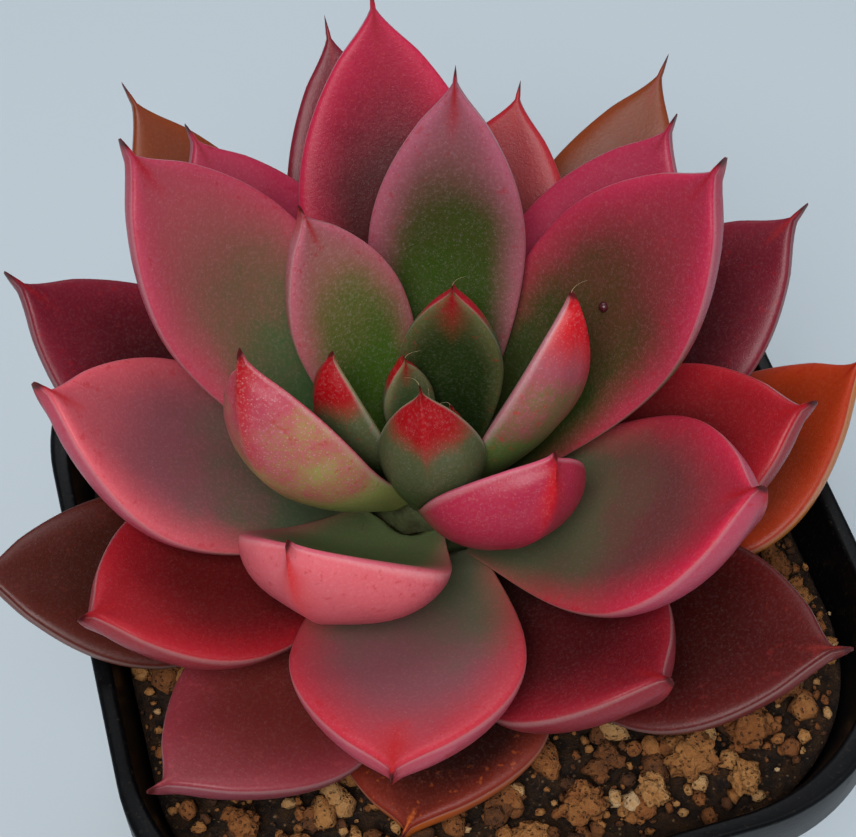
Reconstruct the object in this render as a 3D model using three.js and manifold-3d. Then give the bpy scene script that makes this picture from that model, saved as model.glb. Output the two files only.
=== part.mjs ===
// A potted succulent: a rosette of thick, pointed leaves in a thin-walled square nursery pot.
// Millimetres, +Z up. The origin is the centre of the pot's underside, and the pot's sides
// follow X and Y. Each leaf is grown as one piece and is its own mesh.
import * as THREE from "three";
import Module from "manifold-3d";
import { mergeVertices } from "three/addons/utils/BufferGeometryUtils.js";

// Pot.
const POT_TOP = 90; // across the flats at the rim
const POT_BASE = 66; // across the flats at the underside
const POT_HEIGHT = 80;
const POT_WALL = 1.2;
const POT_FLOOR = 1.6;
const TOP_CORNER = 24; // corner radius at the rim
const BASE_CORNER = 15;
const CORNER_FACETS = 8;
const RIM_STEP = 0.9; // how far the rim band stands out from the wall below it
const RIM_DEPTH = 9;
const RIM_ROUND = 0.6;
const FOOT_BEVEL = 1;
const DRAIN_RADIUS = 4;
const DRAIN_OFFSET = 17; // from the pot's middle, along both sides
const ROUND_FACETS = 16; // round a drain hole or the stem

// Growing medium.
const SOIL_DROP = 8; // from the rim down to the surface
const SOIL_GAP = 0.3; // between the medium and the pot, and round the stem
const SOIL_BEVEL = 1;
const CRUMB_GAP = 0.3; // under a loose crumb
const CRUMB_LUMP = 0.22; // depth of a crumb's lumps against its radius
const LUMPS_X = 4; // waves of lumps round a crumb
const LUMPS_Y = 5;
const LUMPS_Z = 3;
const CRUMB_FLATTEN = 0.8;

// Plant frame: its axis leans a little towards one corner of the pot.
const CROWN_ABOVE_RIM = 13.5; // the growing point
const CROWN_X = -3.5;
const CROWN_Y = 0.5;
const LEAN_X = 5.2; // degrees
const LEAN_Y = -3.6;
const STEM_RADIUS = 8;
const ROOT_DEPTH = 26; // below the surface of the medium
const ROOT_TIP_RADIUS = 1.5;
const ROOT_SHOULDER_DEPTH = 4; // where the stem narrows into the tap root
const ROOT_SHOULDER_INSET = 1.5;
const COLLAR_RISE = 1; // the full stem radius ends this far above the medium
const DOME_STEP = 3; // leaves between one point of the dome's profile and the next

// Spiral: leaves follow one another by the golden angle, out and down over a domed stem.
const GOLDEN_ANGLE = 138.3;
const FIRST_LEAF_ANGLE = 225.4;
const CROWN_SPREAD = 1.75; // root radius of leaf n is CROWN_SPREAD * sqrt(n + 0.5)
const CROWN_DROP = 0.3; // root height falls by CROWN_DROP * n + CROWN_FALL * n * n
const CROWN_FALL = 0.007;
const LEAF_SEAT = 0.35; // gap between a leaf's root and the stem

// Leaf form.
const LEAF_THICKNESS = 5.6; // of a full-grown leaf
const FULL_WIDTH = 22; // a leaf this wide or wider has the full thickness
const YOUNG_PLUMPNESS = 0.6; // how slowly a narrower leaf's thickness falls with its width
const WIDEST = 0.52; // share of the length at which a leaf is widest
const NECK = 0.36; // width at the root against the greatest width
const THICKEST = 0.55; // share of the length at which a leaf is thickest
const ROOT_THINNING = 0.25; // thickness at the root against the greatest thickness
const UPPER_SHARE = 0.6; // how much of the section lies above its middle, where 1 is half
const LEAF_CUP = 0.22; // rise of the margins against the half width
const ROOT_WRAP = 0.3; // further rise at the root, where a leaf clasps the stem
const WRAP_FADE = 3; // how fast that further rise dies away towards the tip
const OUTLINE_RISE = 1.3; // how slowly the blade widens from its neck
const FULLNESS_RISE = 1.6; // how slowly it thickens from its root
const TIP_THINNING = 0.93; // thickness lost at the tip
const SPINE_START = 0.955; // share of the length at which the blade ends and the spine begins
const SPINE_WIDTH = 0.05; // against the leaf's greatest width
const LEAF_FACETS = 12;
const LEAF_ROWS = 12;
const ROW_CROWDING = 1.3; // rows stand closer towards the tip
const POLE = 0.9999; // height on the unit sphere above which a point is a pole

// Leaves from the youngest outwards. lift is the chord's angle above the plant's horizontal,
// turn the root's angle off the exact spiral, reach the chord, curl the bend from root to tip,
// roll the turn about the leaf's own length, bow its sideways bulge at mid-length and swing the
// chord's angle off its root's. Angles are rounded to half degrees and lengths to half
// millimetres.
const LEAVES = [
  { lift: 96, turn: 0, reach: 15, width: 5, curl: 10, roll: 0, bow: 0, swing: -30 },
  { lift: 81, turn: 0, reach: 18, width: 6, curl: 15, roll: 0, bow: 0.5, swing: 13 },
  { lift: 87.5, turn: 0, reach: 20, width: 4.5, curl: 10, roll: 0, bow: 0, swing: 3 },
  { lift: 74, turn: 0, reach: 24, width: 9.5, curl: 22, roll: 45, bow: 1.5, swing: -36 },
  { lift: 74.5, turn: 0, reach: 26, width: 11.5, curl: 25, roll: 0, bow: 0, swing: 34 },
  { lift: 94, turn: -1, reach: 26, width: 11.5, curl: 33, roll: 0, bow: 1, swing: -2 },
  { lift: 66, turn: 0, reach: 36, width: 14, curl: 30, roll: 2, bow: -0.5, swing: -4 },
  { lift: 66, turn: 0, reach: 32, width: 15.5, curl: 18, roll: -46, bow: -1.5, swing: 41 },
  { lift: 66, turn: 0, reach: 34, width: 16.5, curl: 20, roll: 72, bow: 3.5, swing: -47 },
  { lift: 53, turn: 6, reach: 44, width: 17.5, curl: 30, roll: 2, bow: 0, swing: 0 },
  { lift: 63, turn: 0, reach: 25, width: 18, curl: 20, roll: -60, bow: -2, swing: 50 },
  { lift: 50, turn: -16, reach: 49, width: 21.5, curl: 40, roll: 1, bow: 0, swing: 0 },
  { lift: 52.5, turn: 8, reach: 48.5, width: 22.5, curl: 38, roll: 2, bow: 1, swing: 0 },
  { lift: 58.5, turn: 1, reach: 30, width: 23, curl: 58, roll: 26, bow: 2, swing: -16 },
  { lift: 42.5, turn: -8.5, reach: 52, width: 22, curl: 32, roll: 1, bow: 0, swing: 0 },
  { lift: 45, turn: 11, reach: 41.5, width: 24, curl: 55, roll: 4, bow: 0, swing: 0 },
  { lift: 40.5, turn: -9, reach: 43, width: 22.5, curl: 50, roll: 1, bow: 1, swing: 0 },
  { lift: 41, turn: -2, reach: 46, width: 20, curl: 30, roll: 2, bow: 0, swing: 0 },
  { lift: 31.5, turn: -6.5, reach: 37.5, width: 25, curl: 20, roll: 2, bow: 0, swing: 0 },
  { lift: 35, turn: -6.5, reach: 45, width: 21, curl: 35, roll: 3, bow: 0, swing: 0 },
  { lift: 34, turn: 5.5, reach: 40.5, width: 22, curl: 45, roll: 3, bow: 0, swing: 0 },
  { lift: 32.5, turn: -5, reach: 39.5, width: 23, curl: 48, roll: 3, bow: -1.5, swing: 0 },
  { lift: 30, turn: -3, reach: 44, width: 20, curl: 35, roll: 2, bow: 0, swing: 0 },
  { lift: 32.5, turn: 11.5, reach: 34.5, width: 24, curl: 55, roll: 1, bow: -2, swing: 0 },
  { lift: 29.5, turn: -4.5, reach: 48.5, width: 22, curl: 45, roll: 2, bow: 0.5, swing: 0 },
  { lift: 26.5, turn: 9, reach: 48.5, width: 22, curl: 40, roll: 2, bow: 0, swing: 0 },
  { lift: 18.5, turn: -14, reach: 40, width: 23, curl: 29, roll: 2.5, bow: 3, swing: 0 },
  { lift: 27.5, turn: -5, reach: 54, width: 19, curl: 38, roll: 2, bow: 0, swing: 0 },
  { lift: 19.5, turn: 5, reach: 43.5, width: 25, curl: 40, roll: 2, bow: -3, swing: 0 },
  { lift: 19, turn: 2, reach: 46, width: 22, curl: 33, roll: -3, bow: 2, swing: 0 },
  { lift: 19.5, turn: 9, reach: 56.5, width: 19, curl: 40, roll: 2, bow: 0, swing: 0 },
  { lift: 9.5, turn: -9, reach: 30, width: 24.5, curl: 20, roll: 5, bow: 3.5, swing: 0 },
  { lift: 24.5, turn: -9, reach: 57.5, width: 19, curl: 40, roll: 2, bow: 0, swing: 0 },
  { lift: 19, turn: 10, reach: 47, width: 24, curl: 44, roll: -12, bow: -5, swing: 12 },
];

const wasm = await Module();
wasm.setup();

const radians = THREE.MathUtils.degToRad;
const potMaterial = { color: 0x121317, roughness: 0.42, metalness: 0 };
const soilMaterial = { color: 0x2a1d14, roughness: 0.95, metalness: 0 };
const crumbMaterial = { color: 0xa9733f, roughness: 0.9, metalness: 0 };
const stemMaterial = { color: 0x6d5a43, roughness: 0.8, metalness: 0 };

function makeMesh(name, geometry, material) {
  const mesh = new THREE.Mesh(geometry, new THREE.MeshStandardMaterial(material));
  mesh.name = name;
  return mesh;
}

// Merged positions only, as joining and cutting need.
function welded(geometry) {
  const bare = geometry.index ? geometry.clone() : geometry;
  bare.deleteAttribute("normal");
  bare.deleteAttribute("uv");
  return mergeVertices(bare, 1e-4);
}

function toSolid(geometry) {
  const bare = welded(geometry);
  const vertProperties = new Float32Array(bare.attributes.position.array);
  const triVerts = new Uint32Array(bare.index.array);
  return new wasm.Manifold(new wasm.Mesh({ numProp: 3, vertProperties, triVerts }));
}

function toGeometry(solid) {
  const result = solid.getMesh();
  const geometry = new THREE.BufferGeometry();
  geometry.setAttribute("position", new THREE.BufferAttribute(result.vertProperties, 3));
  geometry.setIndex(new THREE.BufferAttribute(result.triVerts, 1));
  return geometry;
}

// A lathed profile pressed into a square with rounded corners. Each profile point gives the
// distance across half the flats and the height; cornerAt gives the corner radius there.
function squareLathe(profile, cornerAt) {
  const columns = 4 * (CORNER_FACETS + 1);
  const geometry = new THREE.LatheGeometry(profile, columns);
  const position = geometry.attributes.position;
  const turned = new THREE.Vector3();
  for (let i = 0; i < position.count; i += 1) {
    turned.fromBufferAttribute(position, i);
    const half = Math.hypot(turned.x, turned.z);
    const height = turned.y;
    const column = Math.round((Math.atan2(turned.x, turned.z) / (2 * Math.PI)) * columns);
    const wrapped = ((column % columns) + columns) % columns;
    const quarter = Math.floor(wrapped / (CORNER_FACETS + 1));
    const step = wrapped % (CORNER_FACETS + 1);
    const corner = Math.min(cornerAt(height), half);
    const start = (quarter * Math.PI) / 2;
    const angle = start + ((step / CORNER_FACETS) * Math.PI) / 2;
    const middle = start + Math.PI / 4;
    const centre = Math.SQRT2 * (half - corner);
    const x = Math.cos(middle) * centre + Math.cos(angle) * corner;
    const y = Math.sin(middle) * centre + Math.sin(angle) * corner;
    position.setXYZ(i, x, y, height);
  }
  return geometry;
}

const potCorner = (height) => {
  const share = THREE.MathUtils.clamp(height / POT_HEIGHT, 0, 1);
  return THREE.MathUtils.lerp(BASE_CORNER, TOP_CORNER, share);
};

const soilTop = POT_HEIGHT - SOIL_DROP;
const wallTop = POT_TOP / 2 - RIM_STEP;
const outerWallAt = (height) => THREE.MathUtils.lerp(POT_BASE / 2, wallTop, height / POT_HEIGHT);
const innerWallAt = (height) => outerWallAt(height) - POT_WALL;

function potGeometry() {
  const bandBottom = POT_HEIGHT - RIM_DEPTH;
  const rim = POT_TOP / 2;
  const inside = innerWallAt(POT_HEIGHT);
  const profile = [
    new THREE.Vector2(0, 0),
    new THREE.Vector2(outerWallAt(0) - FOOT_BEVEL, 0),
    new THREE.Vector2(outerWallAt(FOOT_BEVEL), FOOT_BEVEL),
    new THREE.Vector2(outerWallAt(bandBottom), bandBottom),
    new THREE.Vector2(rim - RIM_ROUND / 2, bandBottom + RIM_ROUND),
    new THREE.Vector2(rim, POT_HEIGHT - RIM_ROUND),
    new THREE.Vector2(rim - RIM_ROUND, POT_HEIGHT),
    new THREE.Vector2(inside + RIM_ROUND / 2, POT_HEIGHT),
    new THREE.Vector2(innerWallAt(POT_HEIGHT - RIM_ROUND), POT_HEIGHT - RIM_ROUND),
    new THREE.Vector2(innerWallAt(POT_FLOOR + FOOT_BEVEL), POT_FLOOR + FOOT_BEVEL),
    new THREE.Vector2(innerWallAt(POT_FLOOR) - FOOT_BEVEL, POT_FLOOR),
    new THREE.Vector2(0, POT_FLOOR),
  ];
  let solid = toSolid(squareLathe(profile, potCorner));
  const cut = 2 * (POT_FLOOR + FOOT_BEVEL);
  const drain = new THREE.CylinderGeometry(DRAIN_RADIUS, DRAIN_RADIUS, cut, ROUND_FACETS);
  drain.rotateX(Math.PI / 2);
  for (const side of [0, 1, 2, 3]) {
    const angle = ((side + 0.5) * Math.PI) / 2;
    const reach = DRAIN_OFFSET * Math.SQRT2;
    const hole = drain.clone().translate(reach * Math.cos(angle), reach * Math.sin(angle), 0);
    solid = solid.subtract(toSolid(hole));
  }
  return toGeometry(solid);
}

// Root of the nth leaf on the domed crown: distance from the plant's axis and height.
function crownPoint(n) {
  const radius = CROWN_SPREAD * Math.sqrt(n + 0.5);
  const height = -(CROWN_DROP * n + CROWN_FALL * n * n);
  return new THREE.Vector2(radius, height);
}

// The stem under the leaves, widened by grow, down to the tip of the tap root.
function stemGeometry(grow, top) {
  const soil = SOIL_DROP + CROWN_ABOVE_RIM;
  const profile = [
    new THREE.Vector2(0, -soil - ROOT_DEPTH - grow),
    new THREE.Vector2(ROOT_TIP_RADIUS + grow, -soil - ROOT_DEPTH + ROOT_TIP_RADIUS),
    new THREE.Vector2(STEM_RADIUS - ROOT_SHOULDER_INSET + grow, -soil - ROOT_SHOULDER_DEPTH),
    new THREE.Vector2(STEM_RADIUS + grow, -soil + COLLAR_RISE),
  ];
  for (let n = LEAVES.length - 1; n >= 0; n -= DOME_STEP) {
    const point = crownPoint(n);
    profile.push(new THREE.Vector2(point.x - LEAF_SEAT + grow, point.y - LEAF_SEAT));
  }
  profile.push(new THREE.Vector2(0, top));
  return new THREE.LatheGeometry(profile, ROUND_FACETS).rotateX(Math.PI / 2);
}

// Half width of a leaf at share t of its length, against its greatest half width.
function outline(t) {
  if (t < WIDEST) {
    return NECK + (1 - NECK) * Math.sin((Math.PI / 2) * (t / WIDEST)) ** OUTLINE_RISE;
  }
  const past = (t - WIDEST) / (SPINE_START - WIDEST);
  const blade = past < 1 ? 1 - past * past : 0;
  const spine = (SPINE_WIDTH * (1 - t)) / (1 - SPINE_START);
  return Math.max(blade, Math.min(spine, SPINE_WIDTH));
}

// Thickness of a leaf at share t of its length, against its greatest thickness.
function fullness(t) {
  if (t < THICKEST) {
    const rise = Math.sin((Math.PI / 2) * (t / THICKEST)) ** FULLNESS_RISE;
    return ROOT_THINNING + (1 - ROOT_THINNING) * rise;
  }
  const past = (t - THICKEST) / (1 - THICKEST);
  return 1 - TIP_THINNING * past * past;
}

// A leaf grown along +X with its upper face to +Z, from its root at the origin.
function leafGeometry(leaf) {
  const geometry = new THREE.SphereGeometry(1, LEAF_FACETS, LEAF_ROWS);
  const position = geometry.attributes.position;
  const bend = radians(leaf.curl);
  const start = radians(leaf.lift) - bend / 2;
  const roll = radians(leaf.roll);
  const arc = (leaf.reach * (bend / 2)) / Math.sin(bend / 2);
  const half = leaf.width / 2;
  const depth = LEAF_THICKNESS * Math.min(1, leaf.width / FULL_WIDTH) ** YOUNG_PLUMPNESS;
  const vertex = new THREE.Vector3();
  for (let i = 0; i < position.count; i += 1) {
    vertex.fromBufferAttribute(position, i);
    const share = 1 - Math.acos(THREE.MathUtils.clamp(vertex.y, -1, 1)) / Math.PI;
    const t = 1 - (1 - share) ** ROW_CROWDING;
    const around = Math.atan2(vertex.z, vertex.x);
    const isPole = Math.abs(vertex.y) > POLE;
    const wide = isPole ? 0 : half * outline(t);
    const deep = isPole ? 0 : (depth / 2) * fullness(t);
    const wrap = LEAF_CUP + ROOT_WRAP * (1 - t) ** WRAP_FADE;
    const cup = wrap * wide * Math.cos(around) ** 2;
    const across = wide * Math.cos(around);
    const sine = -Math.sin(around);
    const up = cup + deep * sine * (sine > 0 ? UPPER_SHARE : 2 - UPPER_SHARE);
    const sideways = across * Math.cos(roll) - up * Math.sin(roll);
    const outward = across * Math.sin(roll) + up * Math.cos(roll);
    const slope = start + bend * t;
    const run = (arc / bend) * (Math.sin(slope) - Math.sin(start));
    const rise = (arc / bend) * (Math.cos(start) - Math.cos(slope));
    const side = sideways + leaf.bow * 4 * t * (1 - t);
    const x = run - outward * Math.sin(slope);
    const z = rise + outward * Math.cos(slope);
    position.setXYZ(i, x, side, z);
  }
  return geometry;
}

const youngColour = new THREE.Color(0xc05f78);
const oldColour = new THREE.Color(0x6b2a33);
function leafMaterial(n) {
  const colour = youngColour.clone().lerp(oldColour, n / (LEAVES.length - 1));
  return { color: colour.getHex(), roughness: 0.5, metalness: 0 };
}

const pottedSucculent = new THREE.Group();

pottedSucculent.add(makeMesh("pot", potGeometry(), potMaterial));

const plant = new THREE.Group();
plant.position.set(CROWN_X, CROWN_Y, POT_HEIGHT + CROWN_ABOVE_RIM);
plant.rotation.set(radians(LEAN_X), radians(LEAN_Y), 0);
plant.updateMatrix();
plant.add(makeMesh("stem", stemGeometry(0, -LEAF_SEAT), stemMaterial));
LEAVES.forEach((leaf, n) => {
  const name = `leaf_${String(n + 1).padStart(2, "0")}`;
  const mesh = makeMesh(name, leafGeometry(leaf), leafMaterial(n));
  const azimuth = radians(FIRST_LEAF_ANGLE - GOLDEN_ANGLE * n + leaf.turn);
  const root = crownPoint(n);
  mesh.position.set(root.x * Math.cos(azimuth), root.x * Math.sin(azimuth), root.y);
  mesh.rotation.z = azimuth + radians(leaf.swing);
  plant.add(mesh);
});
pottedSucculent.add(plant);

// Fills the pot up to SOIL_DROP below the rim, with a socket for the stem.
function soilGeometry() {
  const bottom = POT_FLOOR + SOIL_GAP;
  const fill = (height, inset) => new THREE.Vector2(innerWallAt(height) - SOIL_GAP - inset, height);
  const profile = [
    new THREE.Vector2(0, bottom),
    fill(bottom, SOIL_BEVEL),
    fill(bottom + SOIL_BEVEL, 0),
    fill(soilTop - SOIL_BEVEL, 0),
    fill(soilTop, SOIL_BEVEL),
    new THREE.Vector2(0, soilTop),
  ];
  const socket = stemGeometry(SOIL_GAP, 0).applyMatrix4(plant.matrix);
  return toGeometry(toSolid(squareLathe(profile, potCorner)).subtract(toSolid(socket)));
}

pottedSucculent.add(makeMesh("substrate", soilGeometry(), soilMaterial));

// Porous crumbs lying loose on the medium: place across the pot and size.
const CRUMBS = [
  { x: 18, y: -33, size: 4.5 },
  { x: 25.5, y: -31.5, size: 5 },
  { x: 23, y: -37, size: 3.5 },
  { x: 30.5, y: -27, size: 4.5 },
  { x: 12.5, y: -35.5, size: 3.5 },
  { x: 9, y: -30, size: 3 },
  { x: 4.5, y: -35, size: 4 },
  { x: 35, y: -21.5, size: 4 },
  { x: 37, y: -12.5, size: 3.5 },
  { x: -2.5, y: -37, size: 3.5 },
  { x: -27.5, y: -32, size: 4 },
  { x: -32.5, y: -27, size: 4.5 },
  { x: -37, y: -18, size: 3.5 },
  { x: -37, y: -5, size: 3 },
  { x: -21, y: 36, size: 4 },
  { x: 8, y: 37.5, size: 3.5 },
  { x: 29, y: 30, size: 4 },
  { x: -33, y: 27, size: 3.5 },
  { x: 37.5, y: 8, size: 3.5 },
];

// A lumpy crumb, a little flattened, with its lowest point at the origin's height.
function crumbGeometry(size, seed) {
  const geometry = new THREE.IcosahedronGeometry(size / 2, 1);
  const position = geometry.attributes.position;
  const point = new THREE.Vector3();
  for (let i = 0; i < position.count; i += 1) {
    point.fromBufferAttribute(position, i).normalize();
    const waves = Math.sin(LUMPS_X * point.x + seed) * Math.cos(LUMPS_Y * point.y - 2 * seed);
    const lump = waves * Math.sin(LUMPS_Z * point.z + 3 * seed);
    point.multiplyScalar((size / 2) * (1 + CRUMB_LUMP * lump));
    position.setXYZ(i, point.x, point.y, point.z * CRUMB_FLATTEN);
  }
  geometry.computeBoundingBox();
  return geometry.translate(0, 0, -geometry.boundingBox.min.z);
}

CRUMBS.forEach(({ x, y, size }, n) => {
  const name = `crumb_${String(n + 1).padStart(2, "0")}`;
  const crumb = makeMesh(name, crumbGeometry(size, n), crumbMaterial);
  crumb.position.set(x, y, soilTop + CRUMB_GAP);
  pottedSucculent.add(crumb);
});

export default pottedSucculent;
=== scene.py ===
import math
import random

import bmesh
import bpy
from mathutils import Matrix, Vector, noise


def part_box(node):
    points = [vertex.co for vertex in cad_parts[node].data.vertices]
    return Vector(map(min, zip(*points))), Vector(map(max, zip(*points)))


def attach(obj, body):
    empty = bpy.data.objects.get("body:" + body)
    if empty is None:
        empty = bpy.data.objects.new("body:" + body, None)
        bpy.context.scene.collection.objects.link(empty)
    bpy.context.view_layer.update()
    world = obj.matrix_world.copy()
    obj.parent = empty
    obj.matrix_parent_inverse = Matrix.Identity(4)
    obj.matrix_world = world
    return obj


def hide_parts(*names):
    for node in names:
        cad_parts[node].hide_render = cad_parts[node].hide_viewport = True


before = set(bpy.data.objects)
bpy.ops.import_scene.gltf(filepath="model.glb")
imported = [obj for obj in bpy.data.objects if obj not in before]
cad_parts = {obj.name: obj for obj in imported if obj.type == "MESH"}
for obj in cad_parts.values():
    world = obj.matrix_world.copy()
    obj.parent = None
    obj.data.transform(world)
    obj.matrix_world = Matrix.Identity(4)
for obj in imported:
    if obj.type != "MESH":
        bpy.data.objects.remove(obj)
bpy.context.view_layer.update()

MM = 0.001
# Pale of the leaves' powdery bloom, and of the painted highlight along their margins.
PALE_POWDER_AND_HIGHLIGHT = (0.88, 0.84, 0.80, 1)

# ------------------------------------------------------------------ plant sizes, millimetres
# The spiral and the leaf form follow those of the solids, so every fine leaf lies in the place
# of its own solid.
CROWN = Vector((-3.5, 0.5, 93.5))
LEAN_X = 5.2
LEAN_Y = -3.6
GOLDEN_ANGLE = 138.3
FIRST_LEAF_ANGLE = 225.4
CROWN_SPREAD = 1.75
CROWN_DROP = 0.3
CROWN_FALL = 0.007
LEAF_THICKNESS = 6.6  # the fine leaves are plumper than their solids
FULL_WIDTH = 22
WIDEST = 0.52
NECK = 0.52  # the fine leaves clasp the stem a little wider than their solids
THICKEST = 0.55
ROOT_THINNING = 0.25
TIP_THINNING = 0.93
UPPER_SHARE = 0.6
LEAF_CUP = 0.22
OUTER_CUP = 0.12  # the oldest leaves are flatter across
ROOT_WRAP = 0.3
WRAP_FADE = 3
OUTLINE_RISE = 1.3
FULLNESS_RISE = 1.6
TIP_TAPER = 0.3  # how much narrower a blade gets just before its spine
MARGIN_FULLNESS = 0.72  # how blunt the rounded margins are, where 1 is an ellipse
SPINE_START = 0.955
SPINE_WIDTH = 0.03
YOUNG_PLUMPNESS = 0.6
ROW_CROWDING = 1.3
LEAF_SIDES = 44
LEAF_ROWS = 48
KEEL_RISE = 0.3  # of the half thickness, along the underside towards the tip
WAVE_RISE = 0.5  # slow unevenness of a leaf's faces
WAVE_SCALE = 0.07

# Leaves from the youngest outwards: lift of the chord, turn off the exact spiral, reach, width,
# curl, roll about the length, sideways bow, swing of the chord off its root, and finish.
LEAVES = [
    (96, 0, 15, 5, 10, 0, 0, -30, "heart"),
    (81, 0, 18, 6, 15, 0, 0.5, 13, "heart"),
    (87.5, 0, 20, 4.5, 10, 0, 0, 3, "heart"),
    (74, 0, 24, 10, 22, 62, 1.5, -36, "heart"),
    (74.5, 0, 26, 11.5, 25, 0, 0, 34, "heart_painted_shade"),
    (94, -1, 26, 11.5, 33, 0, 1, -2, "heart"),
    (66, 0, 36, 14, 30, 2, -0.5, -4, "green_rose"),
    (66, 0, 32, 16, 18, -60, -1.5, 41, "fold_rose"),
    (66, 0, 34, 16.5, 20, 72, 3.5, -47, "keel_rose"),
    (53, 6, 44, 17.5, 30, 2, 0, 0, "green_dark"),
    (63, 0, 25, 18, 20, -60, -2, 50, "keel_red"),
    (50, -16, 49, 21.5, 40, 1, 0, 0, "sage_rose"),
    (52.5, 8, 48.5, 22.5, 38, 2, 1, 0, "olive_rose"),
    (58.5, 1, 30, 23, 58, 26, 2, -16, "keel_coral"),
    (42.5, -8.5, 52, 22, 32, 1, 0, 0, "maroon_rose"),
    (45, 11, 41.5, 24, 55, 4, 0, 0, "mauve_rose"),
    (40.5, -9, 43, 22.5, 50, 1, 1, 0, "sage_mauve"),
    (41, -2, 46, 20, 30, 2, 0, 0, "rose"),
    (31.5, -6.5, 37.5, 25, 20, 2, 0, 0, "mauve_red"),
    (35, -6.5, 45, 21, 35, 3, 0, 0, "rose"),
    (34, 5.5, 40.5, 22, 45, 3, 0, 0, "red_wine"),
    (32.5, -5, 39.5, 23, 48, 3, -1.5, 0, "red_wine"),
    (30, -3, 44, 20, 35, 2, 0, 0, "red_wine"),
    (32.5, 11.5, 34.5, 24, 55, 1, -2, 0, "deep_red"),
    (29.5, -4.5, 48.5, 22, 45, 2, 0.5, 0, "wine"),
    (26.5, 9, 48.5, 22, 40, 2, 0, 0, "wine"),
    (18.5, -14, 40, 23, 29, 2.5, 3, 0, "old_rose"),
    (27.5, -5, 54, 19, 38, 2, 0, 0, "wine"),
    (19.5, 5, 43.5, 25, 40, 2, -3, 0, "dark_wine"),
    (19, 2, 46, 22, 33, -3, 2, 0, "umber"),
    (19.5, 9, 56.5, 19, 40, 2, 0, 0, "amber"),
    (9.5, -9, 30, 24.5, 20, 5, 3.5, 0, "rust_edge"),
    (24.5, -9, 57.5, 19, 40, 2, 0, 0, "amber"),
    (19, 10, 47, 24, 44, -12, -5, 12, "rust"),
]

# ------------------------------------------------------------------ helpers for mesh pieces


def smooth_step(value, low, high):
    """0 below low and 1 above high, with a soft rise between them."""
    share = min(1.0, max(0.0, (value - low) / (high - low)))
    return share * share * (3 - 2 * share)


def add_piece(name, bm, material, slot, *nodes):
    """Makes bm, in metres, a smooth piece on the frame, standing for the named nodes."""
    bmesh.ops.recalc_face_normals(bm, faces=bm.faces)
    mesh = bpy.data.meshes.new(name)
    bm.to_mesh(mesh)
    bm.free()
    mesh.shade_smooth()
    mesh.materials.append(material)
    piece = bpy.data.objects.new(name, mesh)
    bpy.context.scene.collection.objects.link(piece)
    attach(piece, "root")
    if nodes:
        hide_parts(*nodes)
    return piece


# ------------------------------------------------------------------ helpers for materials


def linear(code):
    """A six-digit colour code as the shader's linear colour."""
    values = [int(code[i : i + 2], 16) / 255 for i in (0, 2, 4)]
    return (*[v / 12.92 if v < 0.04 else ((v + 0.055) / 1.055) ** 2.4 for v in values], 1)


def add_node(tree, kind, **settings):
    made = tree.nodes.new(kind)
    for name, value in settings.items():
        setattr(made, name, value)
    return made


def feed(tree, socket, value):
    """Links another node's output to the socket, or sets a plain value on it."""
    if isinstance(value, bpy.types.NodeSocket):
        tree.links.new(value, socket)
    else:
        socket.default_value = value


def calculate(tree, operation, *values):
    made = add_node(tree, "ShaderNodeMath", operation=operation)
    for socket, value in zip(made.inputs, values):
        feed(tree, socket, value)
    return made.outputs[0]


def fade(tree, value, low, high, start=0.0, end=1.0):
    """start where value is below low, end where it is above high, and soft between."""
    made = add_node(tree, "ShaderNodeMapRange", interpolation_type="SMOOTHSTEP")
    for socket, given in zip(made.inputs, (value, low, high, start, end)):
        feed(tree, socket, given)
    return made.outputs[0]


def mix(tree, share, first, second, kind="MIX"):
    made = add_node(tree, "ShaderNodeMix", data_type="RGBA", blend_type=kind)
    feed(tree, made.inputs[0], share)
    feed(tree, made.inputs[6], first)
    feed(tree, made.inputs[7], second)
    return made.outputs[2]


def place(tree):
    return add_node(tree, "ShaderNodeTexCoord").outputs["Object"]


def grain(tree, scale, detail=2.0, roughness=0.5):
    """Even noise between 0 and 1, with features about 1 / scale metres across."""
    made = add_node(tree, "ShaderNodeTexNoise")
    feed(tree, made.inputs["Vector"], place(tree))
    feed(tree, made.inputs["Scale"], scale)
    feed(tree, made.inputs["Detail"], detail)
    feed(tree, made.inputs["Roughness"], roughness)
    return made.outputs[0]


def cells(tree, scale):
    """Distance to the nearest of many scattered points."""
    made = add_node(tree, "ShaderNodeTexVoronoi")
    feed(tree, made.inputs["Vector"], place(tree))
    feed(tree, made.inputs["Scale"], scale)
    return made.outputs["Distance"]


def read(tree, name):
    made = add_node(tree, "ShaderNodeAttribute", attribute_type="GEOMETRY")
    made.attribute_name = name
    return made.outputs["Fac"]


def start_group(name, inputs, outputs):
    """A node group with colour or number sockets; returns it with its inner ends."""
    tree = bpy.data.node_groups.new(name, "ShaderNodeTree")
    kinds = {"colour": "NodeSocketColor", "number": "NodeSocketFloat"}
    for label, kind in inputs:
        tree.interface.new_socket(label, in_out="INPUT", socket_type=kinds[kind])
    for label, kind in outputs:
        tree.interface.new_socket(label, in_out="OUTPUT", socket_type=kinds[kind])
    return tree, tree.nodes.new("NodeGroupInput"), tree.nodes.new("NodeGroupOutput")


def start_material(name, **constants):
    """A material with its Principled shader, the named constants set on the shader."""
    material = bpy.data.materials.new(name)
    material.use_nodes = True
    tree = material.node_tree
    tree.nodes.clear()
    shader = tree.nodes.new("ShaderNodeBsdfPrincipled")
    output = tree.nodes.new("ShaderNodeOutputMaterial")
    tree.links.new(shader.outputs[0], output.inputs["Surface"])
    for label, value in constants.items():
        shader.inputs[label.replace("_", " ")].default_value = value
    return material, tree, shader


def place_group(tree, group, **values):
    made = add_node(tree, "ShaderNodeGroup", node_tree=group)
    for label, value in values.items():
        feed(tree, made.inputs[label.replace("_", " ")], value)
    return made


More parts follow.
